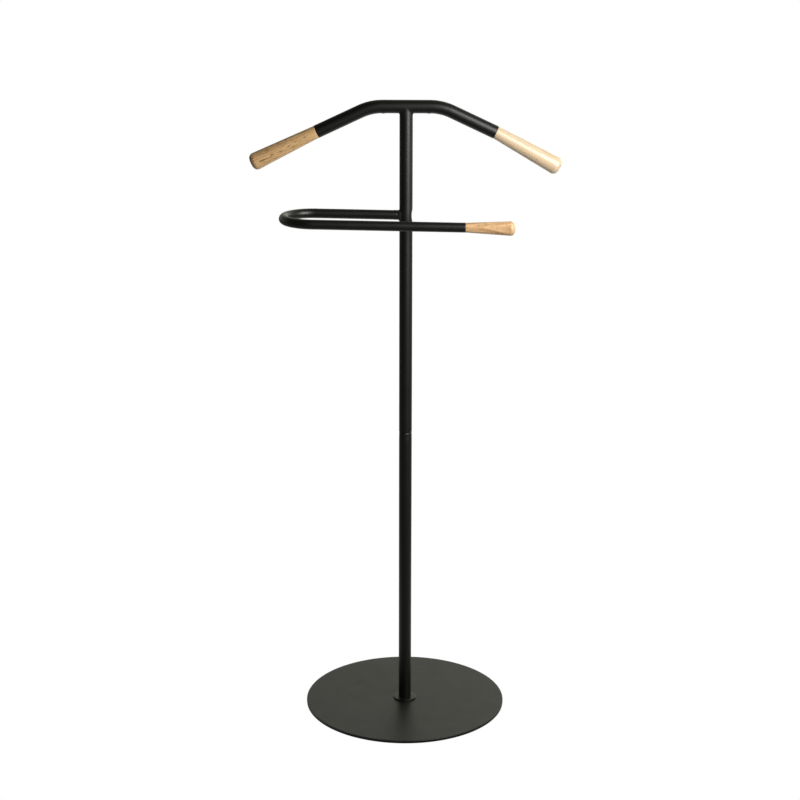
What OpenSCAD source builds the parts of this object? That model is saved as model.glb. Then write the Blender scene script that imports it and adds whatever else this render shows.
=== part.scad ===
// Valet stand: a round steel foot, a two-part pole, a hanger with wooden shoulder tips and a trouser bar.
// Sizes are in millimetres. +Z is up and -Y is the front. The origin is on the floor, on the pole's axis.

/* [Foot] */
// Diameter of the round base plate
base_d = 351; // [280:1:420]
// Thickness of the base plate
base_t = 3; // [2.5:0.5:6]
// Diameter of the flange welded to the pole's lower end
flange_d = 40; // [30:1:60]
// Thickness of that flange
flange_t = 2; // [2:0.5:4]
// Number of self-adhesive floor pads
pad_count = 6; // [3:1:8]
// Diameter of each floor pad
pad_d = 18; // [12:1:30]
// Thickness of each floor pad
pad_t = 1.5; // [1:0.5:3]
// Distance of the floor pads from the pole's axis
pad_reach = 150; // [90:1:160]

/* [Pole] */
// Outer diameter of the pole and of the hanger tube
tube_d = 22; // [20:0.5:25]
// Wall of the pole and of the hanger tube
tube_wall = 1.2; // [1:0.1:1.5]
// Height of the lower end of the upper pole, where the two halves screw together
joint_z = 503; // [400:1:600]
// Height of the ring between the two halves of the pole
collar_h = 11.4; // [8:0.1:16]
// Diameter of that ring
collar_d = 21.8; // [20:0.1:22]
// Length of the threaded stud that joins the halves
stud_l = 44; // [30:1:46]

/* [Hanger] */
// Height of the hanger tube's centre line
hanger_z = 1060; // [950:1:1150]
// Length of the hanger's straight middle
hanger_straight = 77; // [60:1:120]
// Bend radius of the hanger, at the centre line
hanger_bend_r = 87.5; // [60:0.5:120]
// Angle at which the arms slope down
arm_angle = 25; // [15:1:35]
// Length of each straight arm after the bend
arm_l = 79.5; // [60:0.5:110]

/* [Shoulder tips] */
// Length of wood that shows beyond the hanger tube
shoulder_tip_l = 121; // [90:1:150]
// Diameter of a shoulder tip where it meets the tube
shoulder_tip_d0 = 21.2; // [20:0.1:22]
// Largest diameter of a shoulder tip
shoulder_tip_d1 = 29.3; // [26:0.1:34]
// Extra droop of the left tip against its arm, in degrees
left_droop = 0.85; // [0:0.05:4]
// Extra droop of the right tip against its arm, in degrees
right_droop = 3.75; // [0:0.05:4]

/* [Trouser bar] */
// Height at which the bar's centre line crosses the pole's axis
bar_z = 880; // [780:1:940]
// Outer diameter of the trouser bar
bar_d = 16; // [14:0.5:18]
// Wall of the trouser bar
bar_wall = 1.2; // [1:0.1:1.5]
// Distance of the bend's centre from the pole's axis
bar_reach = 150; // [120:1:180]
// Radius of the half-round bend, at the centre line
bar_bend_r = 50; // [40:1:60]
// Length of the front leg past the pole's axis
bar_front = 97.5; // [60:0.5:130]
// Slope of the bar down towards its wooden tip, in degrees
bar_slope = 0.9; // [0:0.1:2]
// Length of wood that shows beyond the bar
bar_tip_l = 80; // [60:1:100]
// Diameter of the bar's tip where it meets the bar
bar_tip_d0 = 15.8; // [13.8:0.1:16]
// Largest diameter of the bar's tip
bar_tip_d1 = 23.6; // [20:0.1:28]

/* [Hidden] */
$fn = 96;

BLACK = "#1c1c1a";
ZINC = "#a9adb0";
OAK = "#d9b382";
FELT = "#2b2b2b";

// Clearance between parts that slide or press into each other, on the radius
fit = 0.05;
// Chamfer that breaks the outer edge of a cut tube or plate
ease = 0.4;
// Extra length that carries a cutter clear through its part
through = 1;
// Hair by which a straight tube laps into a bend
lap = 0.02;

plate_z = pad_t;
flange_z = plate_z + base_t;
lower_z = flange_z + flange_t;
collar_z = joint_z - collar_h;
tube_r = tube_d / 2;
bore_r = tube_r - tube_wall;
bar_r = bar_d / 2;
bar_bore_r = bar_r - bar_wall;

// M8 countersunk screw up through the base, and the plug in the pole that it screws into
m8_r = 4;
base_screw_l = 26;
base_head_r = 8;
foot_plug_l = 25;

// M10 stud between the two halves of the pole
m10_r = 5;
collar_spigot_l = 24;
insert_l = 24;
collar_chamfer_w = 1.6;
collar_chamfer_h = 2;
groove_z = joint_z - 6.5;
groove_w = 0.7;
groove_depth = 0.1;
// Chamfer where the ring meets the lower pole
seam_ease = 0.15;

// The pole stops this far below the hanger's centre line, and a weld bead fills the rest
cope_drop = 4;
weld_leg = 1.2;
weld_w = 2.6;

// M6 countersunk screw that holds the trouser bar, in a dent pressed into the pole
m6_r = 3;
bar_screw_l = 34;
bar_head_r = 5.5;
dent_depth = 2.1;
dent_half_l = 10.5;
dent_r = (pow(dent_half_l, 2) + pow(dent_depth, 2)) / (2 * dent_depth);
dent_floor_x = tube_r - dent_depth;
saddle_end_x = -20;
saddle_spigot_l = 16;
saddle_r = bar_r + 0.25;
saddle_core = 3;
// Half the width between the two flats on the flare, front and back
saddle_flat = saddle_r + 0.1;
// How the saddle flares where it meets the pole: radius gained, at a distance from the pole
saddle_flare = [[1.6, 0], [0.7, 0.6], [0.25, 1.4], [0, 2.6]];

// Wooden tips: the spigot hidden in the tube, and the two arcs of the rounded end
spigot_l = 25;
shoulder_tip_round = 8.5;
shoulder_tip_dome = 42;
bar_tip_round = 7;
bar_tip_dome = 30;
arc_steps = 14;

function arc(centre, radius, from, to) = [for (i = [0 : arc_steps])
    let (angle = from + (to - from) * i / arc_steps)
    [centre[0] + radius * cos(angle), centre[1] + radius * sin(angle)]];

// ---- Shared shapes ----

// Turns a shape that is built along Z to lie along X
module along_x() {
    rotate([0, 90, 0]) children();
}

module ring_section(outer_r, inner_r) {
    difference() {
        circle(r = outer_r);
        circle(r = inner_r);
    }
}

// A straight tube along Z, with its outer edge broken at the low or the high end
module tube_run(outer_r, inner_r, length, ease_low = 0, ease_high = 0) {
    rotate_extrude() polygon([
        [inner_r, 0], [outer_r - ease_low, 0], [outer_r, ease_low],
        [outer_r, length - ease_high], [outer_r - ease_high, length], [inner_r, length]]);
}

// Puts a shape where a bend that starts at the origin, heading along +X, has turned down by angle
module after_bend(bend_r, angle) {
    translate([0, 0, -bend_r]) rotate([0, angle, 0]) translate([0, 0, bend_r]) children();
}

// A tube bend that starts at the origin heading along +X and turns down by angle
module tube_bend_down(outer_r, inner_r, bend_r, angle) {
    translate([0, 0, -bend_r]) rotate([-90, -90, 0])
        rotate_extrude(angle = angle) translate([bend_r, 0]) ring_section(outer_r, inner_r);
}

// A straight tube along Z that laps into the bend below it, so that the two are one tube
module tube_after_bend(outer_r, inner_r, length, ease_high) {
    rotate_extrude() polygon([
        [inner_r + 2 * lap, -lap], [outer_r - 2 * lap, -lap], [outer_r, lap],
        [outer_r, length - ease_high], [outer_r - ease_high, length],
        [inner_r, length], [inner_r, lap]]);
}

// A turned tip along +X from the origin: a taper, a rounded shoulder and a shallow dome, all tangent
module turned_tip(d0, d1, length, round_r, dome_r) {
    dome_x = length - dome_r;
    round_y = d1 / 2 - round_r;
    round_x = dome_x + sqrt(pow(dome_r - round_r, 2) - pow(round_y, 2));
    reach = sqrt(pow(round_x, 2) + pow(round_y - d0 / 2, 2));
    taper = atan2(round_y - d0 / 2, round_x) + asin(round_r / reach);
    dome_angle = atan2(round_y, round_x - dome_x);
    outline = concat(
        [[-through, 0], [-through, d0 / 2 - through * tan(taper)]],
        arc([round_x, round_y], round_r, 90 + taper, dome_angle),
        arc([dome_x, 0], dome_r, dome_angle, 0));
    along_x() rotate_extrude() polygon([for (p = outline) [p[1], p[0]]]);
}

// A wooden tip with its spigot; droop tilts the wood that shows, and the seat stays square to the tube
module wooden_tip(d0, d1, length, round_r, dome_r, spigot_r, droop = 0) {
    color(OAK) union() {
        intersection() {
            rotate([0, droop, 0]) turned_tip(d0, d1, length, round_r, dome_r);
            translate([0, -d1, -length / 2]) cube([length + d1, 2 * d1, length]);
        }
        translate([-spigot_l, 0, 0]) along_x() cylinder(r = spigot_r, h = spigot_l + through);
    }
}

// A countersunk screw along Z: its flat head is at z = 0 and its shank runs up
module countersunk_screw(shank_r, head_r, length, key) {
    head_h = head_r - shank_r;
    difference() {
        union() {
            cylinder(r1 = head_r, r2 = shank_r, h = head_h);
            translate([0, 0, head_h]) cylinder(r = shank_r, h = length - head_h);
        }
        translate([0, 0, -through]) cylinder(d = key / cos(30), h = through + head_h * 0.8, $fn = 6);
    }
}

// The hole for that screw, with room all round
module countersunk_hole(shank_r, head_r, length) {
    wide_r = head_r + fit;
    hole_r = shank_r + 4 * fit;
    translate([0, 0, -through]) cylinder(r = hole_r, h = length + through);
    cylinder(r1 = wide_r, r2 = hole_r, h = wide_r - hole_r);
    translate([0, 0, -through]) cylinder(r = wide_r, h = through);
}

// Puts a shape that points along +X at the end of the hanger's right arm
module at_arm_end() {
    translate([hanger_straight / 2, 0, hanger_z]) after_bend(hanger_bend_r, arm_angle)
        translate([arm_l, 0, 0]) children();
}

// The trouser bar's own frame: X along its legs, the origin where it crosses the pole's axis
module at_bar() {
    translate([0, 0, bar_z]) rotate([0, bar_slope, 0]) children();
}

// ---- Foot ----

module base_pads() {
    color(FELT) for (i = [0 : pad_count - 1])
        rotate(i * 360 / pad_count) translate([pad_reach, 0, 0]) cylinder(d = pad_d, h = pad_t);
}

module base_plate() {
    color(BLACK) difference() {
        translate([0, 0, plate_z]) rotate_extrude() polygon([
            [0, 0], [base_d / 2 - ease, 0], [base_d / 2, ease],
            [base_d / 2, base_t - ease], [base_d / 2 - ease, base_t], [0, base_t]]);
        translate([0, 0, plate_z]) countersunk_hole(m8_r, base_head_r, base_screw_l);
    }
}

module base_screw() {
    color(ZINC) translate([0, 0, plate_z]) countersunk_screw(m8_r, base_head_r, base_screw_l, 5);
}

module foot_flange() {
    color(BLACK) difference() {
        translate([0, 0, flange_z])
            tube_run(flange_d / 2, m8_r + 4 * fit, flange_t, 0, ease / 2);
        translate([0, 0, plate_z]) countersunk_hole(m8_r, base_head_r, base_screw_l);
    }
}

module foot_plug() {
    color(ZINC) translate([0, 0, lower_z]) tube_run(bore_r - fit, m8_r + fit, foot_plug_l, 0, ease);
}

// ---- Pole ----

module lower_pole() {
    color(BLACK) translate([0, 0, lower_z])
        tube_run(tube_r, bore_r, collar_z - lower_z, 0, seam_ease);
}

// The ring that shows between the halves, with its spigot in the lower pole and a thread through it
module joint_collar() {
    collar_r = collar_d / 2;
    color(BLACK) rotate_extrude() polygon([
        [m10_r + fit, collar_z - collar_spigot_l], [bore_r - fit, collar_z - collar_spigot_l],
        [bore_r - fit, collar_z], [collar_r - seam_ease, collar_z], [collar_r, collar_z + seam_ease],
        [collar_r, groove_z - groove_w], [collar_r - groove_depth, groove_z - groove_w / 2],
        [collar_r, groove_z], [collar_r, joint_z - collar_chamfer_h],
        [collar_r - collar_chamfer_w, joint_z], [m10_r + fit, joint_z]]);
}

module joint_stud() {
    color(ZINC) translate([0, 0, joint_z - stud_l / 2]) rotate_extrude() polygon([
        [0, 0], [m10_r - ease, 0], [m10_r, ease],
        [m10_r, stud_l - ease], [m10_r - ease, stud_l], [0, stud_l]]);
}

module joint_insert() {
    color(ZINC) translate([0, 0, joint_z]) tube_run(bore_r - fit, m10_r + fit, insert_l, 0, ease);
}

module upper_pole() {
    dent_x = dent_floor_x + dent_r;
    wall_middle_d = tube_d - tube_wall;
    color(BLACK) difference() {
        union() {
            translate([0, 0, joint_z])
                tube_run(tube_r, bore_r, hanger_z - cope_drop - joint_z, ease, 0);
            intersection() {
                translate([0, 0, bar_z - 2 * dent_half_l])
                    cylinder(d = wall_middle_d, h = 4 * dent_half_l);
                at_bar() translate([dent_x, 0, 0]) sphere(r = dent_r + tube_wall);
            }
        }
        at_bar() translate([dent_x, 0, 0]) sphere(r = dent_r);
        at_bar() translate([dent_floor_x, 0, 0]) rotate([0, -90, 0])
            countersunk_hole(m6_r, bar_head_r, bar_screw_l);
        translate([-tube_d, 0, hanger_z]) along_x() cylinder(r = tube_r + fit, h = 2 * tube_d);
    }
}

// ---- Hanger ----

module hanger_tube() {
    color(BLACK) union() {
        translate([-hanger_straight / 2, 0, hanger_z]) along_x()
            linear_extrude(hanger_straight) ring_section(tube_r, bore_r);
        for (side = [0, 1]) mirror([side, 0, 0]) {
            translate([hanger_straight / 2, 0, hanger_z])
                tube_bend_down(tube_r, bore_r, hanger_bend_r, arm_angle);
            at_arm_end() translate([-arm_l, 0, 0]) along_x()
                tube_after_bend(tube_r, bore_r, arm_l, ease);
        }
    }
}

// The bead that follows both edges where the pole meets the hanger
module hanger_weld() {
    color(BLACK) difference() {
        intersection() {
            translate([0, 0, hanger_z - tube_d]) cylinder(r = tube_r + weld_leg, h = tube_d);
            for (side = [0, 1]) mirror([side, 0, 0]) translate([0, 0, hanger_z])
                rotate([0, 45, 0]) translate([0, -tube_d, -weld_w / 2])
                    cube([2 * tube_d, 2 * tube_d, weld_w]);
        }
        translate([0, 0, hanger_z - 2 * tube_d]) cylinder(r = tube_r + fit, h = 3 * tube_d);
        translate([-tube_d, 0, hanger_z]) along_x() cylinder(r = tube_r + fit, h = 2 * tube_d);
    }
}

module shoulder_tip(droop) {
    wooden_tip(shoulder_tip_d0, shoulder_tip_d1, shoulder_tip_l, shoulder_tip_round,
        shoulder_tip_dome, bore_r - fit, droop);
}

module left_shoulder_tip() {
    mirror([1, 0, 0]) at_arm_end() shoulder_tip(left_droop);
}

module right_shoulder_tip() {
    at_arm_end() shoulder_tip(right_droop);
}

// ---- Trouser bar ----

module trouser_bar() {
    rear_l = bar_reach + saddle_end_x;
    color(BLACK) at_bar() union() {
        translate([saddle_end_x, 0, 0]) rotate([0, -90, 0])
            tube_run(bar_r, bar_bore_r, rear_l, ease, 0);
        translate([-bar_reach, -bar_bend_r, 0]) rotate(90)
            rotate_extrude(angle = 180) translate([bar_bend_r, 0]) ring_section(bar_r, bar_bore_r);
        translate([-bar_reach, -2 * bar_bend_r, 0]) along_x()
            tube_run(bar_r, bar_bore_r, bar_reach + bar_front, 0, ease);
    }
}

// The turned plug that seats the bar on the round of the pole and takes its screw
module bar_saddle() {
    spigot_r = bar_bore_r - fit;
    rim_r = saddle_r + saddle_flare[0][0];
    flare = [for (step = saddle_flare) [saddle_r + step[0], tube_r + step[1]]];
    color(BLACK) difference() {
        at_bar() intersection() {
            rotate([0, -90, 0]) rotate_extrude() polygon(concat(
                [[m6_r + fit, saddle_core], [rim_r, saddle_core]], flare,
                [[saddle_r, -saddle_end_x - ease], [saddle_r - ease, -saddle_end_x],
                [spigot_r, -saddle_end_x], [spigot_r, saddle_spigot_l - saddle_end_x],
                [m6_r + fit, saddle_spigot_l - saddle_end_x]]));
            cube([6 * tube_d, 2 * saddle_flat, 2 * tube_d], center = true);
        }
        translate([0, 0, bar_z - tube_d]) cylinder(r = tube_r + fit, h = 2 * tube_d);
    }
}

module bar_screw() {
    color(BLACK) at_bar() translate([dent_floor_x, 0, 0]) rotate([0, -90, 0])
        countersunk_screw(m6_r, bar_head_r, bar_screw_l, 4);
}

module bar_tip() {
    at_bar() translate([bar_front, -2 * bar_bend_r, 0])
        wooden_tip(bar_tip_d0, bar_tip_d1, bar_tip_l, bar_tip_round, bar_tip_dome, bar_bore_r - fit);
}

base_pads();
base_plate();
base_screw();
foot_flange();
foot_plug();
lower_pole();
joint_collar();
joint_stud();
joint_insert();
upper_pole();
hanger_tube();
hanger_weld();
left_shoulder_tip();
right_shoulder_tip();
trouser_bar();
bar_saddle();
bar_screw();
bar_tip();
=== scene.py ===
# Looks of the valet stand. Each visible piece is built here in mesh code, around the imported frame.
# Shapes are worked out in millimetres and become metres when a mesh is made. +Z is up, -Y is the front.
import math

import bmesh
import bpy
from mathutils import Matrix, Vector


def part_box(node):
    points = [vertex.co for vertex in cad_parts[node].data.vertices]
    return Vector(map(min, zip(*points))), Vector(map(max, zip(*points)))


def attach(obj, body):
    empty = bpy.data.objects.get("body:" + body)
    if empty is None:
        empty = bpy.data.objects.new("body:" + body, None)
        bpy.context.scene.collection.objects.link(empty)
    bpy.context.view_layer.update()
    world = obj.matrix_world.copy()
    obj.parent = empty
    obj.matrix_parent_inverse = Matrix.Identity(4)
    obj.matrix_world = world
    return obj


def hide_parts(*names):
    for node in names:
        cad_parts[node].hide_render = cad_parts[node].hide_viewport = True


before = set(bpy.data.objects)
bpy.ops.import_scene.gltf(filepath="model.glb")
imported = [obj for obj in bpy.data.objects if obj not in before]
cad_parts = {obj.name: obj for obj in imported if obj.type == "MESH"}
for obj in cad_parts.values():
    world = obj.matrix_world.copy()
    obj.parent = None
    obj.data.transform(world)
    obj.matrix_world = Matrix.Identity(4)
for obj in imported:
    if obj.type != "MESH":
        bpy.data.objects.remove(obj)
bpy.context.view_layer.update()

MM = 0.001
SEGMENTS = 96


def node_box(node):
    """A CAD node's lowest and highest corner, in millimetres."""
    low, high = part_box(node)
    return low / MM, high / MM


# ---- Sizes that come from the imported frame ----

_, pad_high = node_box("base_pads")
plate_low, plate_high = node_box("base_plate")
flange_low, flange_high = node_box("foot_flange")
lower_low, lower_high = node_box("lower_pole")
collar_low, collar_high = node_box("joint_collar")
upper_low, upper_high = node_box("upper_pole")
_, hanger_high = node_box("hanger_tube")
base_screw_low, base_screw_high = node_box("base_screw")
stud_low, stud_high = node_box("joint_stud")

TUBE_R = lower_high.x
HANGER_Z = hanger_high.z - TUBE_R
JOINT_Z = upper_low.z
COLLAR_Z = lower_high.z

# ---- Design sizes that the pieces share, in millimetres and radians ----

TUBE_WALL = 1.2
BORE_R = TUBE_R - TUBE_WALL
FIT = 0.05
EASE = 0.4
SEAM_EASE = 0.15
M6_R = 3
M8_R = 4
M10_R = 5

PAD_COUNT = 6
PAD_R = 9
PAD_REACH = pad_high.x - PAD_R
BASE_HEAD_R = 8

HANGER_HALF = 38.5
HANGER_BEND_R = 87.5
ARM_ANGLE = math.radians(25)
ARM_L = 79.5
LEFT_DROOP = math.radians(0.85)
RIGHT_DROOP = math.radians(3.75)

BAR_Z = 880
BAR_SLOPE = math.radians(0.9)
BAR_R = 8
BAR_BORE_R = BAR_R - TUBE_WALL
BAR_REACH = 150
BAR_BEND_R = 50
BAR_FRONT = 97.5
SADDLE_X = -20
SADDLE_R = BAR_R + 0.25
SADDLE_FLAT = SADDLE_R + 0.1
SADDLE_FLARE = 1.6
SADDLE_FLARE_L = 2.6

DENT_FLOOR_X = TUBE_R - 2.1
DENT_R = 27.3
SCREW_HEAD_R = 5.5
SEAT_R = SCREW_HEAD_R + FIT

# How far the weld's seam bows below the saddle curve where the two tubes would just touch
SEAM_APEX = 2.6


# ---- Shape helpers ----

def spaced(start, end, step):
    """Even stations from start to end, about a step apart."""
    count = max(1, round((end - start) / step))
    return [start + (end - start) * i / count for i in range(count + 1)]


def quarter_turn(steps=4):
    """Even (sine, cosine) steps through a quarter turn, for a rounded edge."""
    angles = [math.pi / 2 * k / steps for k in range(steps + 1)]
    return [(math.sin(a), math.cos(a)) for a in angles]


def outline(corners, steps=4, hold=0.3):
    """Points round a closed shape of (radius, z, rounding) corners. Each rounded corner has a held edge
    beside it, so that the flat faces stay flat when they are shaded."""
    points = []
    for i, (radius, z, rounding) in enumerate(corners):
        corner = Vector((radius, z))
        before = Vector(corners[i - 1][:2]) - corner
        after = Vector(corners[(i + 1) % len(corners)][:2]) - corner
        if rounding == 0:
            points.append(corner)
            continue
        start = corner + before.normalized() * rounding
        end = corner + after.normalized() * rounding
        points.append(start.lerp(corner + before, hold))
        for k in range(steps + 1):
            t = k / steps
            points.append(start.lerp(corner, t).lerp(corner.lerp(end, t), t))
        points.append(end.lerp(corner + after, hold))
    return points


def loft(rings, closed=False):
    """Vertices and faces through rings of points. A ring of one point closes that end."""
    verts = []
    faces = []
    starts = []
    for ring in rings:
        starts.append(len(verts))
        verts.extend(ring)
    count = max(len(ring) for ring in rings)
    last = len(rings) if closed else len(rings) - 1
    for a in range(last):
        b = (a + 1) % len(rings)
        for i in range(count):
            j = (i + 1) % count
            if len(rings[a]) == 1:
                faces.append((starts[a], starts[b] + j, starts[b] + i))
            elif len(rings[b]) == 1:
                faces.append((starts[a] + i, starts[a] + j, starts[b]))
            else:
                faces.append((starts[a] + i, starts[a] + j, starts[b] + j, starts[b] + i))
    return verts, faces


def polar(radius, angle, z):
    return (radius * math.cos(angle), radius * math.sin(angle), z)


def ring_at(radius, z, segments=SEGMENTS):
    """A level ring round the Z axis. The radius is a number or a function of the angle."""
    ring = []
    for i in range(segments):
        angle = 2 * math.pi * i / segments
        r = radius(angle) if callable(radius) else radius
        ring.append(polar(r, angle, z))
    return ring


def lathe(points, segments=SEGMENTS, closed=True):
    """A turned shape round the Z axis through (radius, z) points."""
    rings = [ring_at(r, z, segments) if r > 0 else [(0, 0, z)] for r, z in points]
    return loft(rings, closed)


def moved(part, matrix):
    """A part's vertices carried by a matrix whose lengths are millimetres."""
    verts, faces = part
    return [matrix @ Vector(v) for v in verts], faces


def add_piece(name, parts, material, nodes, place=None):
    """One object made of closed parts in millimetres, which stands for its CAD nodes."""
    merge_distance = 2e-6
    sharp_angle = math.radians(40)
    verts = []
    faces = []
    for part_verts, part_faces in parts:
        first = len(verts)
        verts.extend(Vector(v) * MM for v in part_verts)
        faces.extend([first + i for i in face] for face in part_faces)
    mesh = bpy.data.meshes.new(name)
    mesh.from_pydata(verts, [], faces)
    work = bmesh.new()
    work.from_mesh(mesh)
    bmesh.ops.remove_doubles(work, verts=work.verts, dist=merge_distance)
    bmesh.ops.recalc_face_normals(work, faces=work.faces)
    work.to_mesh(mesh)
    work.free()
    mesh.shade_smooth()
    mesh.set_sharp_from_angle(angle=sharp_angle)
    mesh.materials.append(material)
    piece = bpy.data.objects.new(name, mesh)
    if place is not None:
        piece.matrix_world = place
    bpy.context.scene.collection.objects.link(piece)
    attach(piece, "root")
    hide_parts(*nodes)


def shift(x, y, z):
    """A translation in millimetres."""
    return Matrix.Translation(Vector((x, y, z)))


def turn(angle, axis):
    return Matrix.Rotation(angle, 4, axis)


def in_metres(matrix):
    """The same placing with its translation in metres, as an object needs it."""
    placed = matrix.copy()
    placed.translation = matrix.translation * MM
    return placed


# ---- Material helpers ----

def new_material(name, **settings):
    """A material, its node tree and its Principled shader, with these sockets set on the shader."""
    material = bpy.data.materials.new(name)
    material.use_nodes = True
    tree = material.node_tree
    shader = tree.nodes["Principled BSDF"]
    for socket, value in settings.items():
        shader.inputs[socket.replace("_", " ")].default_value = value
    return material, tree, shader


def put(tree, kind, inputs=None, **attributes):
    """Adds a node. Each input is a number, a tuple or the output socket of another node."""
    node = tree.nodes.new("ShaderNode" + kind)
    for name, value in attributes.items():
        setattr(node, name, value)
    for key, value in (inputs or {}).items():
        if isinstance(value, bpy.types.NodeSocket):
            tree.links.new(value, node.inputs[key])
        else:
            node.inputs[key].default_value = value
    return node


def maths(tree, operation, *values):
    inputs = dict(enumerate(values))
    return put(tree, "Math", inputs, operation=operation).outputs[0]


def remap(tree, value, low, high, to_low, to_high):
    inputs = {"Value": value, "From Min": low, "From Max": high, "To Min": to_low, "To Max": to_high}
    return put(tree, "MapRange", inputs).outputs["Result"]


def stretched_noise(tree, place, scale, detail=2.0, roughness=0.5):
    """Noise over coordinates that are scaled by a number for each axis first."""
    scaled = put(tree, "VectorMath", {0: place, 1: scale}, operation="MULTIPLY").outputs[0]
    inputs = {"Vector": scaled, "Scale": 1.0, "Detail": detail, "Roughness": roughness}
    return put(tree, "TexNoise", inputs).outputs["Fac"]


def mix_colour(tree, factor, a, b, blend_type="MIX"):
    node = put(tree, "Mix", data_type="RGBA", blend_type=blend_type)
    for key, value in ((0, factor), (6, a), (7, b)):
        if isinstance(value, bpy.types.NodeSocket):
            tree.links.new(value, node.inputs[key])
        elif key == 0:
            node.inputs[key].default_value = value
        else:
            node.inputs[key].default_value = (*value, 1.0)
    return node.outputs[2]


def ramp(tree, value, stops):
    """A colour ramp through (position, colour) stops."""
    node = put(tree, "ValToRGB", {"Fac": value})
    elements = node.color_ramp.elements
    while len(elements) < len(stops):
        elements.new(0.5)
    for element, (position, colour) in zip(elements, stops):
        element.position = position
        element.color = (*colour, 1.0)
    return node.outputs["Color"]


def millimetres(tree):
    """The object's own coordinates, in millimetres."""
    place = put(tree, "TexCoord").outputs["Object"]
    return put(tree, "VectorMath", {0: place, "Scale": 1 / MM}, operation="SCALE").outputs[0]


def add_bump(tree, shader, height, distance_mm, strength):
    inputs = {"Height": height, "Distance": distance_mm * MM, "Strength": strength}
    bump = put(tree, "Bump", inputs)
    tree.links.new(bump.outputs["Normal"], shader.inputs["Normal"])


# ---- Materials ----

def powder_coat(name, smooth, rough):
    """Satin black powder coat: a faint cloudiness, orange peel and a fine grit. Its roughness runs
    between the two values."""
    material, tree, shader = new_material(name)
    place = millimetres(tree)
    cloud = stretched_noise(tree, place, (0.03, 0.03, 0.03), 3.0)
    peel = stretched_noise(tree, place, (0.55, 0.55, 0.55), 2.0)
    grit = stretched_noise(tree, place, (2.6, 2.6, 2.6), 1.0)
    mottle = maths(tree, "MULTIPLY_ADD", grit, 0.35, cloud)
    colour = ramp(tree, mottle, [(0.3, (0.0010, 0.0010, 0.0008)), (0.9, (0.0020, 0.0020, 0.0017))])
    tree.links.new(colour, shader.inputs["Base Color"])
    tree.links.new(remap(tree, mottle, 0.3, 0.9, smooth, rough), shader.inputs["Roughness"])
    height = maths(tree, "MULTIPLY_ADD", grit, 0.25, peel)
    add_bump(tree, shader, height, distance_mm=0.02, strength=0.35)
    return material


def wood(name, pale, deep, pith, tilt, ring_width, pore_depth, contrast, gloss=0.07, fleck=None):
    """Lacquered wood in a turned tip's own frame, with X along the tip. The growth rings are shells
    round a pith line that starts at (y, z) = pith and leans by tilt, so they cut the turned surface
    in long arches. pale and deep are the colours of early and late wood, gloss is the lacquer's
    roughness, and fleck is a dark mark's centre and half size."""
    material, tree, shader = new_material(
        name, Coat_Weight=0.6, Coat_Roughness=gloss, Coat_IOR=1.45)
    place = millimetres(tree)
    x, y, z = put(tree, "SeparateXYZ", {0: place}).outputs
    off_y = maths(tree, "SUBTRACT", maths(tree, "MULTIPLY_ADD", x, -tilt[0], y), pith[0])
    off_z = maths(tree, "SUBTRACT", maths(tree, "MULTIPLY_ADD", x, -tilt[1], z), pith[1])
    across = put(tree, "CombineXYZ", {"Y": off_y, "Z": off_z}).outputs[0]
    reach = put(tree, "VectorMath", {0: across}, operation="LENGTH").outputs["Value"]
    warp = stretched_noise(tree, place, (0.02, 0.11, 0.11), 3.0)
    reach = maths(tree, "MULTIPLY_ADD", warp, 1.6 * ring_width, reach)
    phase = maths(tree, "FRACT", maths(tree, "DIVIDE", reach, ring_width))
    middle = tuple(0.35 * d + 0.65 * p for p, d in zip(pale, deep))
    stops = [(0.0, middle), (0.08, pale), (0.45, pale), (0.92, deep), (1.0, middle)]
    colour = ramp(tree, phase, stops)
    tone = stretched_noise(tree, place, (0.03, 0.10, 0.10), 2.0)
    colour = mix_colour(tree, remap(tree, tone, 0.35, 0.7, 0.0, 0.6), colour, middle)
    fibre = stretched_noise(tree, place, (0.03, 0.32, 0.32), 3.0, 0.55)
    fine = stretched_noise(tree, place, (0.05, 1.5, 1.5), 2.0)
    shade = remap(tree, fibre, 0.3, 0.7, 1 - 1.2 * contrast, 1 + 0.8 * contrast)
    shade = maths(tree, "MULTIPLY", shade, remap(tree, fine, 0.3, 0.7, 0.96, 1.03))
    shade_colour = put(tree, "CombineColor", {0: shade, 1: shade, 2: shade}).outputs[0]
    colour = mix_colour(tree, 1.0, colour, shade_colour, "MULTIPLY")
    pores = stretched_noise(tree, place, (0.11, 0.42, 0.42), 1.0)
    pores = remap(tree, pores, 0.60, 0.70, 0.0, pore_depth)
    dark = tuple(0.40 * d for d in deep)
    colour = mix_colour(tree, pores, colour, dark)
    if fleck is not None:
        centre, half_size = fleck
        near = put(tree, "VectorMath", {0: place, 1: centre}, operation="SUBTRACT").outputs[0]
        near = put(tree, "VectorMath", {0: near, 1: half_size}, operation="DIVIDE").outputs[0]
        near = put(tree, "VectorMath", {0: near}, operation="LENGTH").outputs["Value"]
        near = maths(tree, "MULTIPLY_ADD", fine, 0.3, near)
        colour = mix_colour(tree, remap(tree, near, 1.35, 0.85, 0.0, 1.0), colour, dark)
    tree.links.new(colour, shader.inputs["Base Color"])
    tree.links.new(remap(tree, fibre, 0.3, 0.7, 0.40, 0.52), shader.inputs["Roughness"])
    height = maths(tree, "MULTIPLY_ADD", pores, -1.2, fibre)
    add_bump(tree, shader, height, distance_mm=0.05, strength=0.25)
    return material


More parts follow.
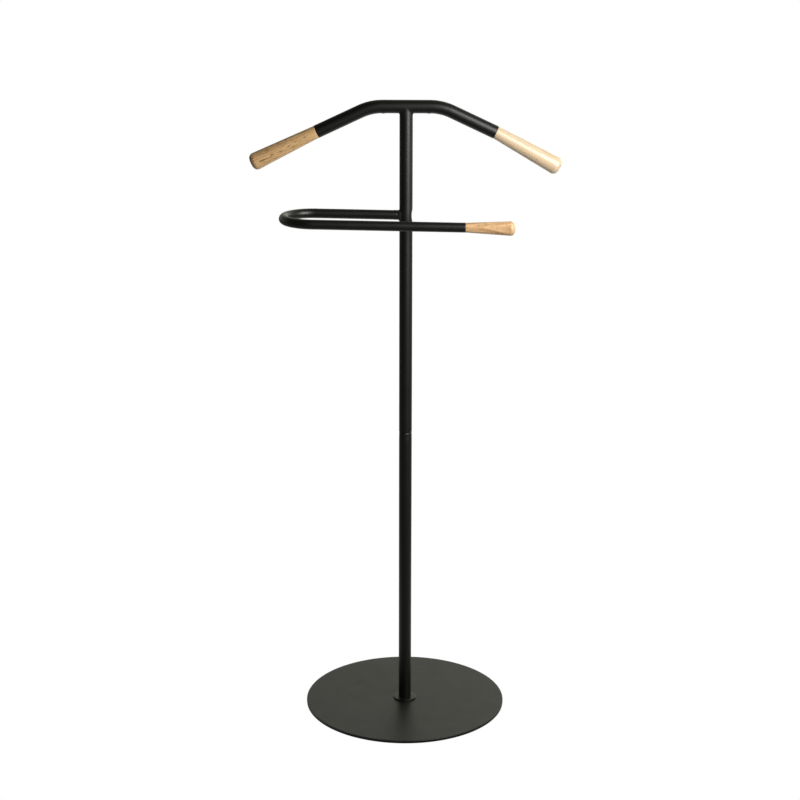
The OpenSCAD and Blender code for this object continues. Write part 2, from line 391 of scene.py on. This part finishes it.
def metal(name, colour, roughness, metallic):
    """Bare or thinly finished steel with a faint mottle and fine scratches."""
    material, tree, shader = new_material(name, Metallic=metallic)
    place = millimetres(tree)
    mottle = stretched_noise(tree, place, (0.7, 0.7, 0.7), 3.0)
    scratch = stretched_noise(tree, place, (6.0, 6.0, 0.4), 2.0)
    darker = tuple(0.75 * c for c in colour)
    tree.links.new(ramp(tree, mottle, [(0.3, darker), (0.7, colour)]), shader.inputs["Base Color"])
    rough = remap(tree, scratch, 0.3, 0.7, 0.8 * roughness, 1.2 * roughness)
    tree.links.new(rough, shader.inputs["Roughness"])
    add_bump(tree, shader, scratch, distance_mm=0.02, strength=0.4)
    return material


def pad_rubber():
    """Dark foam rubber with small open cells."""
    material, tree, shader = new_material("foam_rubber")
    place = millimetres(tree)
    cells = stretched_noise(tree, place, (2.2, 2.2, 2.2), 3.0, 0.7)
    colour = ramp(tree, cells, [(0.35, (0.018, 0.018, 0.018)), (0.7, (0.045, 0.045, 0.044))])
    tree.links.new(colour, shader.inputs["Base Color"])
    tree.links.new(remap(tree, cells, 0.3, 0.7, 0.95, 0.75), shader.inputs["Roughness"])
    add_bump(tree, shader, cells, distance_mm=0.25, strength=0.8)
    return material


# ---- Foot ----

def base_pads(material):
    rounding = 0.35
    disc = outline([
        (0, 0, 0), (PAD_R, 0, rounding), (PAD_R, pad_high.z, rounding), (0, pad_high.z, 0)])
    parts = []
    for i in range(PAD_COUNT):
        spot = turn(2 * math.pi * i / PAD_COUNT, "Z") @ shift(PAD_REACH, 0, 0)
        parts.append(moved(lathe(disc, 64, closed=False), spot))
    add_piece("floor_pads", parts, material, ["base_pads"])


def base_plate(material):
    """A round steel sheet with rounded edges and a countersunk hole under its middle."""
    rim = plate_high.x
    z0 = plate_low.z
    z1 = plate_high.z
    head_r = BASE_HEAD_R + FIT
    neck_r = head_r - (z1 - z0)
    rounding = 0.7
    section = outline([
        (neck_r, z1, 0), (rim, z1, rounding), (rim, z0, rounding), (head_r, z0, 0)],
        steps=5, hold=0.02)
    add_piece("base_disc", [lathe(section, 360)], material, ["base_plate"])


def foot_flange(material):
    rim = flange_high.x
    z0 = flange_low.z
    z1 = flange_high.z
    top_ease = 0.45
    low_ease = 0.1
    neck_r = M8_R + 4 * FIT
    cone_h = 0.85
    section = outline([
        (neck_r, z1, 0), (rim, z1, top_ease), (rim, z0, low_ease), (neck_r + cone_h, z0, 0),
        (neck_r, z0 + cone_h, 0)])
    add_piece("foot_ring", [lathe(section, 128)], material, ["foot_flange"])


def threaded_rod(radius, z_low, z_high, pitch, depth, segments=64):
    """A screw thread with a helical groove and coned ends."""
    cone = depth + 0.2
    rings = [[(0, 0, z_low)]]
    for z in spaced(z_low, z_high, pitch / 6):
        taper = max(0, cone - (z - z_low), cone - (z_high - z))

        def edge(angle, z=z, taper=taper):
            wave = (z / pitch - angle / (2 * math.pi)) % 1
            groove = depth * (1 - abs(2 * wave - 1))
            return radius - max(groove, taper)

        rings.append(ring_at(edge, z, segments))
    rings.append([(0, 0, z_high)])
    return loft(rings)


def socket_screw(head_r, shank_r, length, key, pitch):
    """A countersunk screw along Z, its flat head at z = 0, with a hexagon socket and a thread."""
    cone_h = head_r - shank_r
    socket_h = 0.8 * cone_h
    socket_ease = 0.15
    rim_ease = 0.2
    thread_start = cone_h + 1
    head_end = cone_h + 2
    thread_depth = 0.6 * pitch

    def hexagon(angle):
        return key / 2 / math.cos((angle % (math.pi / 3)) - math.pi / 6)

    head = [[(0, 0, socket_h)], ring_at(hexagon, socket_h), ring_at(hexagon, socket_ease),
            ring_at(lambda a: hexagon(a) + socket_ease, 0), ring_at(head_r - rim_ease, 0),
            ring_at(head_r, rim_ease), ring_at(shank_r, cone_h), ring_at(shank_r, head_end),
            [(0, 0, head_end)]]
    thread = threaded_rod(shank_r, thread_start, length, pitch, thread_depth)
    return [loft(head), thread]


def base_screw(material):
    length = base_screw_high.z - base_screw_low.z
    lift = shift(0, 0, base_screw_low.z)
    screw = socket_screw(BASE_HEAD_R, M8_R, length, key=5, pitch=1.25)
    parts = [moved(p, lift) for p in screw]
    add_piece("foot_screw", parts, material, ["base_screw"])


# ---- Pole ----

def straight_tube(outer_r, inner_r, z0, z1, ease_low, ease_high, segments=SEGMENTS):
    inner_ease = 0.15
    corners = [
        (inner_r, z0, inner_ease), (outer_r, z0, ease_low), (outer_r, z1, ease_high),
        (inner_r, z1, inner_ease)]
    return lathe(outline(corners, steps=4, hold=0.004), segments)


def lower_pole(material):
    foot_ease = 0.15
    tube = straight_tube(TUBE_R, BORE_R, lower_low.z, lower_high.z, foot_ease, SEAM_EASE, 128)
    add_piece("pole_lower_tube", [tube], material, ["lower_pole"])


def joint_collar(material):
    """The turned ring between the halves: its chamfer, its turned groove and its spigot."""
    rim = collar_high.x
    chamfer_w = 1.6
    chamfer_h = 2
    chamfer_ease = 0.4
    groove_drop = 6.5
    groove_top = JOINT_Z - groove_drop
    groove_w = 0.7
    groove_depth = 0.1
    groove_ease = 0.12
    fine_ease = 0.1
    spigot_ease = 0.5
    thread_r = M10_R + FIT
    spigot_r = BORE_R - FIT
    section = outline([
        (thread_r, JOINT_Z, 0), (rim - chamfer_w, JOINT_Z, fine_ease),
        (rim, JOINT_Z - chamfer_h, chamfer_ease), (rim, groove_top, fine_ease),
        (rim - groove_depth, groove_top - groove_w / 2, groove_ease),
        (rim, groove_top - groove_w, fine_ease), (rim, COLLAR_Z, SEAM_EASE),
        (spigot_r, COLLAR_Z, 0), (spigot_r, collar_low.z, spigot_ease),
        (thread_r, collar_low.z, 0)], steps=4, hold=0.05)
    add_piece("pole_joint_ring", [lathe(section, 128)], material, ["joint_collar"])


def joint_stud(material):
    rod = threaded_rod(M10_R, stud_low.z, stud_high.z, pitch=1.5, depth=0.9)
    add_piece("pole_joint_stud", [rod], material, ["joint_stud"])


BAR_FRAME = shift(0, 0, BAR_Z) @ turn(BAR_SLOPE, "Y")
DENT_CENTRE = BAR_FRAME @ Vector((DENT_FLOOR_X + DENT_R, 0, 0))
SEAT_CENTRE = BAR_FRAME @ Vector((DENT_FLOOR_X, 0, 0))


def pole_skin_r(angle, z):
    """The upper pole's outer radius, with the dent pressed in for the bar's screw. The dent's edge
    is softened by a smooth minimum of the tube and the pressing ball."""
    softness = 0.5
    along = DENT_CENTRE.x * math.cos(angle)
    drop = z - DENT_CENTRE.z
    inside = along ** 2 - DENT_CENTRE.x ** 2 - drop ** 2 + DENT_R ** 2
    if along <= 0 or inside <= 0:
        return TUBE_R
    dent = along - math.sqrt(inside)
    if dent > TUBE_R + softness:
        return TUBE_R
    closeness = max(softness - abs(dent - TUBE_R), 0) / softness
    return min(dent, TUBE_R) - closeness ** 2 * softness / 4


def pole_bore_r(angle, z):
    """The upper pole's inner radius, pushed in behind the dent."""
    push = 5.0
    push_spread = 7
    if math.cos(angle) <= 0:
        return BORE_R
    spread = math.hypot(BORE_R * math.sin(angle), z - SEAT_CENTRE.z)
    return BORE_R - push * math.exp(-((spread / push_spread) ** 2))


def cope_z(radius, angle):
    """Height at which a pole of that radius stops under the hanger tube."""
    across = radius * math.sin(angle)
    seat = HANGER_Z - math.sqrt((TUBE_R + FIT) ** 2 - across ** 2 + SEAM_APEX ** 2)
    return min(upper_high.z, seat)


def skin_point(angle, z):
    return polar(pole_skin_r(angle, z), angle, z)


def upper_pole(material):
    """The upper tube: coped under the hanger, with a pressed seat for the bar's screw. The skin
    around the seat is a patch whose rings run from a square window in the skin to the round seat."""
    segments = 128
    half_columns = 17
    half_window = 14
    half_bore = 24
    below_cope = 20
    step = 2 * math.pi / segments
    angles = [step * i for i in range(segments)]
    window = spaced(SEAT_CENTRE.z - half_window, SEAT_CENTRE.z + half_window, 1)
    rings = []
    for sine, cosine in quarter_turn():
        z = JOINT_Z + EASE * (1 - cosine)
        rings.append(ring_at(TUBE_R - EASE * (1 - sine), z, segments))
    rings.append(ring_at(TUBE_R, JOINT_Z + 2, segments))
    first_row = len(rings)
    for z in window:
        rings.append([skin_point(a, z) for a in angles])
    rings.append([skin_point(a, HANGER_Z - below_cope) for a in angles])
    for radius in (TUBE_R, BORE_R):
        rings.append([polar(radius, a, cope_z(radius, a)) for a in angles])
    for z in reversed(spaced(SEAT_CENTRE.z - half_bore, SEAT_CENTRE.z + half_bore, 2)):
        rings.append([polar(pole_bore_r(a, z), a, z) for a in angles])
    rings.append(ring_at(BORE_R, JOINT_Z, segments))
    verts, faces = loft(rings, closed=True)

    def in_window(number):
        row, column = divmod(number, segments)
        if not first_row <= row < first_row + len(window) - 1:
            return False
        return column < half_columns or column >= segments - half_columns

    faces = [face for number, face in enumerate(faces) if not in_window(number)]

    columns = [step * k for k in range(-half_columns, half_columns + 1)]
    border = [(a, window[0]) for a in columns]
    border += [(columns[-1], z) for z in window[1:]]
    border += [(a, window[-1]) for a in reversed(columns[:-1])]
    border += [(columns[0], z) for z in reversed(window[1:-1])]
    seat_x = DENT_FLOOR_X + DENT_R - math.sqrt(DENT_R ** 2 - SEAT_R ** 2)
    headings = [math.atan2(z - SEAT_CENTRE.z, TUBE_R * math.sin(a)) for a, z in border]

    def seat_ring(x, radius):
        return [BAR_FRAME @ Vector((x, radius * math.cos(h), radius * math.sin(h))) for h in headings]

    rim = seat_ring(seat_x, SEAT_R)
    patch = []
    rows = 8
    for row in range(rows):
        share = row / rows
        ring = []
        for (a, z), edge in zip(border, rim):
            a_to = math.atan2(edge.y, edge.x)
            ring.append(skin_point(a + (a_to - a) * share, z + (edge.z - z) * share))
        patch.append(ring)
    neck_r = 3.2
    patch.append(rim)
    patch.append(seat_ring(DENT_FLOOR_X, SEAT_R))
    patch.append(seat_ring(DENT_FLOOR_X - SEAT_R + neck_r, neck_r))
    patch.append([BAR_FRAME @ Vector((DENT_FLOOR_X - SEAT_R + neck_r, 0, 0))])
    parts = [(verts, faces), loft(patch)]
    add_piece("pole_upper_tube", parts, material, ["upper_pole"])


# ---- Bent tubes ----

def tube_along(path, stations, side, outer_r, inner_r, ease_start, ease_end, grow=None):
    """A hollow tube along a path. path(s) gives a point and a direction, side is square to them all,
    and grow(point, outward) adds to the outer radius."""

    def ring(s, radius, grown):
        point, direction = path(s)
        across = direction.cross(side)
        points = []
        for i in range(SEGMENTS):
            angle = 2 * math.pi * i / SEGMENTS
            outward = side * math.cos(angle) + across * math.sin(angle)
            extra = grow(point, outward) if grow and grown else 0
            points.append(point + outward * (radius + extra))
        return points

    start = stations[0]
    end = stations[-1]
    rings = []
    for sine, cosine in quarter_turn():
        s = start + ease_start * (1 - sine)
        rings.insert(0, ring(s, outer_r - ease_start * (1 - cosine), False))
    middle = [s for s in stations if start + ease_start < s < end - ease_end]
    rings.extend(ring(s, outer_r, True) for s in middle)
    for sine, cosine in quarter_turn():
        s = end - ease_end * (1 - sine)
        rings.append(ring(s, outer_r - ease_end * (1 - cosine), False))
    rings.extend(ring(s, inner_r, False) for s in reversed([start] + stations[4:-4:4] + [end]))
    return loft(rings, closed=True)


def hanger_path(s):
    """A point and the direction on the hanger's centre line, at s along it from the middle."""
    sign = -1 if s < 0 else 1
    run = abs(s)
    angle = min(max(run - HANGER_HALF, 0) / HANGER_BEND_R, ARM_ANGLE)
    beyond = max(run - HANGER_HALF - HANGER_BEND_R * ARM_ANGLE, 0)
    x = min(run, HANGER_HALF) + HANGER_BEND_R * math.sin(angle) + beyond * math.cos(angle)
    z = HANGER_Z - HANGER_BEND_R * (1 - math.cos(angle)) - beyond * math.sin(angle)
    return Vector((sign * x, 0, z)), Vector((math.cos(angle), 0, -sign * math.sin(angle)))


def hanger_tube(material):
    """The hanger, with the small lumps that the bending tool leaves under the start of each bend."""
    half = HANGER_HALF + HANGER_BEND_R * ARM_ANGLE + ARM_L
    lump_h = 0.65
    lump_l = 2.6
    lump_inset = 1
    end_ease = 0.9

    def lump(point, outward):
        along = math.exp(-(((abs(point.x) - HANGER_HALF + lump_inset) / lump_l) ** 2))
        return lump_h * along * max(0, -outward.z) ** 3

    stations = spaced(-half, half, 1.5)
    side = Vector((0, 1, 0))
    tube = tube_along(hanger_path, stations, side, TUBE_R, BORE_R, end_ease, end_ease, lump)
    add_piece("hanger_bent_tube", [tube], material, ["hanger_tube"])


def weld_bead(material):
    """The bead where the pole meets the hanger: a small fillet that follows the seam all round."""
    steps = 360
    ripples = 60
    ripple_share = 0.025
    mean_leg = 2.3
    crown_share = 0.04
    root_depth = 0.6
    skin_r = TUBE_R + 0.02

    def seam(angle):
        x = TUBE_R * math.cos(angle)
        return Vector((x, TUBE_R * math.sin(angle), HANGER_Z - math.hypot(x, SEAM_APEX)))

    sections = []
    for i in range(steps):
        angle = 2 * math.pi * i / steps
        centre = seam(angle)
        along = (seam(angle + 0.01) - seam(angle - 0.01)).normalized()
        pole_out = Vector((math.cos(angle), math.sin(angle), 0))
        tube_out = Vector((0, centre.y, centre.z - HANGER_Z)).normalized()
        down = along.cross(pole_out)
        down *= -1 if down.z > 0 else 1
        away = along.cross(tube_out)
        away *= -1 if away.dot(pole_out + Vector((0, 0, 1))) < 0 else 1
        leg = mean_leg * (1 + ripple_share * math.cos(ripples * angle))
        foot = centre + down * leg
        spread = math.hypot(foot.x, foot.y) / skin_r
        foot = Vector((foot.x / spread, foot.y / spread, foot.z))
        head = centre + away * leg
        lift = math.hypot(head.y, head.z - HANGER_Z) / skin_r
        head = Vector((head.x, head.y / lift, HANGER_Z + (head.z - HANGER_Z) / lift))
        out = (pole_out + tube_out).normalized()
        crown = centre + out * crown_share * leg
        ring = []
        for k in range(9):
            t = k / 8
            ring.append(foot.lerp(crown, t).lerp(crown.lerp(head, t), t))
        ring.append(centre - out * root_depth)
        sections.append(ring)
    bead = loft(sections, closed=True)
    add_piece("hanger_weld_bead", [bead], material, ["hanger_weld"])


def bar_path(s):
    """A point and the direction on the trouser bar's centre line, in the bar's own frame."""
    rear_l = BAR_REACH + SADDLE_X
    bend_l = math.pi * BAR_BEND_R
    if s <= rear_l:
        return Vector((SADDLE_X - s, 0, 0)), Vector((-1, 0, 0))
    if s >= rear_l + bend_l:
        return Vector((s - rear_l - bend_l - BAR_REACH, -2 * BAR_BEND_R, 0)), Vector((1, 0, 0))
    angle = (s - rear_l) / BAR_BEND_R
    centre = Vector((-BAR_REACH, -BAR_BEND_R, 0))
    point = centre + Vector((-math.sin(angle), math.cos(angle), 0)) * BAR_BEND_R
    return point, Vector((-math.cos(angle), -math.sin(angle), 0))


def trouser_bar(material):
    total = BAR_REACH + SADDLE_X + math.pi * BAR_BEND_R + BAR_REACH + BAR_FRONT
    stations = spaced(0, total, 1.8)
    side = Vector((0, 0, 1))
    tube = tube_along(bar_path, stations, side, BAR_R, BAR_BORE_R, EASE, EASE)
    place = in_metres(BAR_FRAME)
    add_piece("bar_bent_tube", [tube], material, ["trouser_bar"], place)


def bar_saddle(material):
    """The turned plug between pole and bar: hollowed to the pole's round, with fine turned rings."""
    thread_r = M6_R + FIT
    spigot_r = BAR_BORE_R - FIT
    spigot_l = 16
    spigot_end = SADDLE_X - spigot_l
    spigot_ease = 0.5
    corner = 0.12
    settling_rounds = 6

    def flare(x):
        """Radius gained near the pole, as far along as x."""
        near = 1 - (-TUBE_R - x) / SADDLE_FLARE_L
        return SADDLE_FLARE * min(1, max(0, near)) ** 3

    def ring(x, radius, share, flared=False):
        """A ring at x that leans towards the pole's surface by the share given."""
        points = []
        for i in range(SEGMENTS):
            angle = 2 * math.pi * i / SEGMENTS
            reach = radius
            for _ in range(settling_rounds):
                y = min(SADDLE_FLAT, max(-SADDLE_FLAT, reach * math.cos(angle)))
                surface = -math.sqrt((TUBE_R + FIT) ** 2 - y ** 2)
                place_x = x + (surface - x) * share
                if flared:
                    reach = radius + flare(place_x)
            points.append(Vector((place_x, y, reach * math.sin(angle))))
        return points

    rings = [ring(spigot_end, thread_r, 0), ring(spigot_end, spigot_r - spigot_ease, 0),
             ring(spigot_end + spigot_ease, spigot_r, 0), ring(SADDLE_X, spigot_r, 0),
             ring(SADDLE_X, SADDLE_R - EASE, 0), ring(SADDLE_X + corner, SADDLE_R - corner, 0),
             ring(SADDLE_X + EASE, SADDLE_R, 0)]
    first_groove = 0.3
    groove_pitch = 0.22
    groove_depth = 0.16
    rows = 80
    for i in range(1, rows + 1):
        share = i / rows
        groove = 0.0
        if first_groove < share < first_groove + 2 * groove_pitch:
            wave = math.cos(2 * math.pi * (share - first_groove) / groove_pitch)
            groove = groove_depth * (1 - wave) / 2
        rings.append(ring(SADDLE_X + EASE, SADDLE_R - groove, share, True))
    rings.append(ring(SADDLE_X + EASE, thread_r, 1))
    plug = loft(rings, closed=True)
    place = in_metres(BAR_FRAME)
    add_piece("bar_saddle_plug", [plug], material, ["bar_saddle"], place)


def bar_screw(material):
    length = 34
    place = BAR_FRAME @ shift(DENT_FLOOR_X, 0, 0) @ turn(-math.pi / 2, "Y")
    screw = socket_screw(SCREW_HEAD_R, M6_R, length, key=4, pitch=1.0)
    parts = [moved(p, place) for p in screw]
    add_piece("bar_fixing_screw", parts, material, ["bar_screw"])


# ---- Wooden tips ----

def tip_outline(d0, d1, length, round_r, dome_r):
    """(x, radius) points of a turned tip from its seat: taper, rounded shoulder and shallow dome.
    d0 is its diameter at the seat, and d1 at its widest."""
    dome_x = length - dome_r
    round_y = d1 / 2 - round_r
    round_x = dome_x + math.sqrt((dome_r - round_r) ** 2 - round_y ** 2)
    reach = math.hypot(round_x, round_y - d0 / 2)
    taper = math.atan2(round_y - d0 / 2, round_x) + math.asin(round_r / reach)
    dome_angle = math.atan2(round_y, round_x - dome_x)
    from_angle = math.pi / 2 + taper
    shoulder_steps = 18
    dome_steps = 15
    shoulder = []
    for k in range(shoulder_steps + 1):
        angle = from_angle + (dome_angle - from_angle) * k / shoulder_steps
        shoulder.append((round_x + round_r * math.cos(angle), round_y + round_r * math.sin(angle)))
    dome = []
    for k in range(1, dome_steps + 1):
        angle = dome_angle * (1 - k / dome_steps)
        dome.append((dome_x + dome_r * math.cos(angle), dome_r * math.sin(angle)))
    edge = 0.35
    points = [(0, d0 / 2 - edge), (0.1 * edge, d0 / 2 - 0.5 * edge), (0.5 * edge, d0 / 2 - 0.1 * edge),
              (edge, d0 / 2)]
    start_x, start_r = shoulder[0]
    for x in spaced(edge, start_x, 4)[1:-1]:
        points.append((x, d0 / 2 + (start_r - d0 / 2) * (x - edge) / (start_x - edge)))
    return points + shoulder + dome


def wooden_tip(name, profile, spigot_r, droop, material, node, seat):
    """A turned tip in its own grain frame, X along the wood. Its seat stays square to the tube
    when the wood droops, so its first rings lean back to upright, and its spigot too."""
    spigot_l = 25
    spigot_ease = 0.8
    upright_by = 20

    def spigot_ring(x, radius):
        back = turn(-droop, "Y")
        return [back @ Vector((x, p[0], p[1])) for p in ring_at(radius, 0)]

    rings = [[turn(-droop, "Y") @ Vector((-spigot_l, 0, 0))],
             spigot_ring(-spigot_l, spigot_r - spigot_ease),
             spigot_ring(spigot_ease - spigot_l, spigot_r), spigot_ring(0, spigot_r)]
    for x, radius in profile[:-1]:
        lean = math.tan(droop) * max(0, 1 - x / upright_by)
        rings.append([Vector((x - p[1] * lean, p[0], p[1])) for p in ring_at(radius, 0)])
    rings.append([Vector((profile[-1][0], 0, 0))])
    place = in_metres(seat @ turn(droop, "Y"))
    add_piece(name, [loft(rings)], material, [node], place)


def arm_end():
    """Placing of the right arm's end, its X axis along the arm."""
    bend = shift(HANGER_HALF, 0, HANGER_Z - HANGER_BEND_R) @ turn(ARM_ANGLE, "Y")
    return bend @ shift(ARM_L, 0, HANGER_BEND_R)


def wooden_tips():
    shoulder = tip_outline(d0=21.2, d1=29.3, length=121, round_r=8.5, dome_r=42)
    bar = tip_outline(d0=15.8, d1=23.6, length=80, round_r=7, dome_r=30)
    knot = ((99, 14.4, -2.2), (7.5, 6, 1.1))
    left = wood(
        "tan_wood", pale=(0.62, 0.40, 0.19), deep=(0.42, 0.24, 0.10), pith=(9, -46),
        tilt=(0.02, 0.05), ring_width=3.4, pore_depth=0.85, contrast=0.13, fleck=knot)
    right = wood(
        "pale_wood", pale=(0.565, 0.445, 0.305), deep=(0.50, 0.355, 0.20), pith=(-14, -38),
        tilt=(-0.04, 0.03), ring_width=4.5, pore_depth=0.1, contrast=0.08, gloss=0.17)
    small = wood(
        "figured_wood", pale=(0.64, 0.42, 0.215), deep=(0.35, 0.175, 0.07), pith=(23.5, -3),
        tilt=(0.035, 0.02), ring_width=4.8, pore_depth=0.45, contrast=0.13)
    arm_spigot_r = BORE_R - FIT
    left_seat = turn(math.pi, "Z") @ arm_end()
    bar_seat = BAR_FRAME @ shift(BAR_FRONT, -2 * BAR_BEND_R, 0)
    wooden_tip("left_wooden_tip", shoulder, arm_spigot_r, LEFT_DROOP, left, "left_shoulder_tip",
               left_seat)
    wooden_tip("right_wooden_tip", shoulder, arm_spigot_r, RIGHT_DROOP, right, "right_shoulder_tip",
               arm_end())
    wooden_tip("bar_wooden_tip", bar, BAR_BORE_R - FIT, 0, small, "bar_tip", bar_seat)


# ---- Stage, light and camera ----

WORLD_TINT = (1.0, 1.02, 0.88)
FLOOR_TINT = (1.0, 0.99, 0.93)


def white_to_camera(tree, glow, tint):
    """A strength and a colour: plain white where the camera sees it, and a tinted glow elsewhere."""
    seen = put(tree, "LightPath").outputs["Is Camera Ray"]
    strength = maths(tree, "MULTIPLY_ADD", seen, maths(tree, "SUBTRACT", 1.0, glow), glow)
    return strength, mix_colour(tree, seen, tint, (1, 1, 1))


def floor():
    """A floor that is plain white where the camera sees it. Elsewhere it is a glowing sheet, painted
    light, that lights the object as a mid-grey studio floor would, with a painted patch of extra light
    under and behind the object. Under the base it is black, a painted shadow that shows in the narrow
    space between floor and base."""
    half = 8
    front_glow = 0.13
    back_glow = 0.26
    painted_pool_glow = 0.65
    rim = plate_high.x * MM
    shadow_fade = 0.4 * MM
    mesh = bpy.data.meshes.new("studio_floor")
    corners = [(-half, -half, 0), (half, -half, 0), (half, half, 0), (-half, half, 0)]
    mesh.from_pydata(corners, [], [(0, 1, 2, 3)])
    material = bpy.data.materials.new("studio_floor")
    material.use_nodes = True
    tree = material.node_tree
    tree.nodes.clear()
    place = put(tree, "TexCoord").outputs["Object"]
    x, y, _ = put(tree, "SeparateXYZ", {0: place}).outputs
    glow = remap(tree, y, -1.0, 1.5, front_glow, back_glow)
    glow = maths(tree, "MULTIPLY", glow, remap(tree, x, -2.0, 2.0, 0.8, 1.2))
    # Painted light: an extra glow under and behind the object, fading out to the sides.
    painted_light_pool = remap(tree, y, -0.3, 0.3, 0.0, painted_pool_glow)
    painted_light_pool = maths(tree, "MULTIPLY", painted_light_pool, remap(tree, maths(tree, "ABSOLUTE", x), 0.3, 0.8, 1.0, 0.0))
    glow = maths(tree, "ADD", glow, painted_light_pool)
    strength, colour = white_to_camera(tree, glow, FLOOR_TINT)
    # Painted shadow: the floor is black under the base, and rises to full strength over the last
    # fraction of a millimetre at the base's rim.
    reach = put(tree, "VectorMath", {0: place}, operation="LENGTH").outputs["Value"]
    strength = maths(tree, "MULTIPLY", strength, remap(tree, reach, rim - shadow_fade, rim, 0.0, 1.0))
    light = put(tree, "Emission", {"Color": colour, "Strength": strength}).outputs[0]
    put(tree, "OutputMaterial", {"Surface": light})
    mesh.materials.append(material)
    sheet = bpy.data.objects.new("studio_floor", mesh)
    bpy.context.scene.collection.objects.link(sheet)


def surroundings():
    """White behind everything. What the object reflects is dim in front and brighter behind it,
    brighter on the right than on the left, and dimmer above."""
    front_glow = 0.06
    back_glow = 1.14
    left_share = 0.5
    right_share = 1.5
    top_share = 0.36
    world = bpy.data.worlds.new("studio")
    world.use_nodes = True
    bpy.context.scene.world = world
    tree = world.node_tree
    tree.nodes.clear()
    direction = put(tree, "TexCoord").outputs["Generated"]
    x, y, z = put(tree, "SeparateXYZ", {0: direction}).outputs
    glow = remap(tree, y, -0.2, 0.9, front_glow, back_glow)
    glow = maths(tree, "MULTIPLY", glow, remap(tree, x, -0.25, 0.25, left_share, right_share))
    glow = maths(tree, "MULTIPLY", glow, remap(tree, z, 0.30, 0.55, 1.0, top_share))
    strength, colour = white_to_camera(tree, glow, WORLD_TINT)
    background = put(tree, "Background", {"Color": colour, "Strength": strength})
    put(tree, "OutputWorld", {"Surface": background.outputs[0]})


def softbox(name, place, width, height, power, colour, target):
    data = bpy.data.lights.new(name, "AREA")
    data.shape = "RECTANGLE"
    data.size = width
    data.size_y = height
    data.energy = power
    data.color = colour
    lamp = bpy.data.objects.new(name, data)
    lamp.location = place
    lamp.rotation_mode = "QUATERNION"
    lamp.rotation_quaternion = (target - Vector(place)).to_track_quat("-Z", "Y")
    lamp.visible_camera = False
    bpy.context.scene.collection.objects.link(lamp)


def lights():
    softbox("key_softbox", place=(0.76, -0.83, 1.32), width=0.78, height=0.90, power=27,
            colour=(1.0, 0.985, 0.96), target=Vector((0, 0, 1)))


def camera():
    """The camera, as fitted to the outlines of the object in the photograph."""
    place = Matrix.Translation((0.0397, -3.059, 1.447))
    pitch = math.radians(16.18)
    yaw = math.radians(0.92)
    roll = math.radians(0.09)
    data = bpy.data.cameras.new("camera")
    data.sensor_width = 36
    data.lens = 83.66
    data.clip_end = 50
    seat = bpy.data.objects.new("camera", data)
    aim = turn(yaw, "Z") @ turn(math.pi / 2 - pitch, "X") @ turn(roll, "Z")
    seat.matrix_world = place @ aim
    bpy.context.scene.collection.objects.link(seat)
    bpy.context.scene.camera = seat
    bpy.context.scene.view_settings.view_transform = "Standard"


def finish_hidden_nodes(material):
    """The plugs inside the pole stay as CAD solids, with the zinc finish."""
    for node in ("foot_plug", "joint_insert"):
        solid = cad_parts[node]
        solid.data.materials.clear()
        solid.data.materials.append(material)


camera()
surroundings()
lights()
floor()

coat = powder_coat("satin_black_powder_coat", smooth=0.38, rough=0.44)
plate_coat = powder_coat("satin_black_plate_coat", smooth=0.42, rough=0.48)
zinc = metal("zinc_plate", colour=(0.60, 0.61, 0.63), roughness=0.30, metallic=1.0)
oxide = metal("black_oxide", colour=(0.022, 0.022, 0.022), roughness=0.38, metallic=0.4)

base_pads(pad_rubber())
base_plate(plate_coat)
base_screw(zinc)
foot_flange(coat)
lower_pole(coat)
joint_collar(coat)
joint_stud(zinc)
upper_pole(coat)
hanger_tube(coat)
weld_bead(coat)
trouser_bar(coat)
bar_saddle(coat)
bar_screw(oxide)
wooden_tips()
finish_hidden_nodes(zinc)
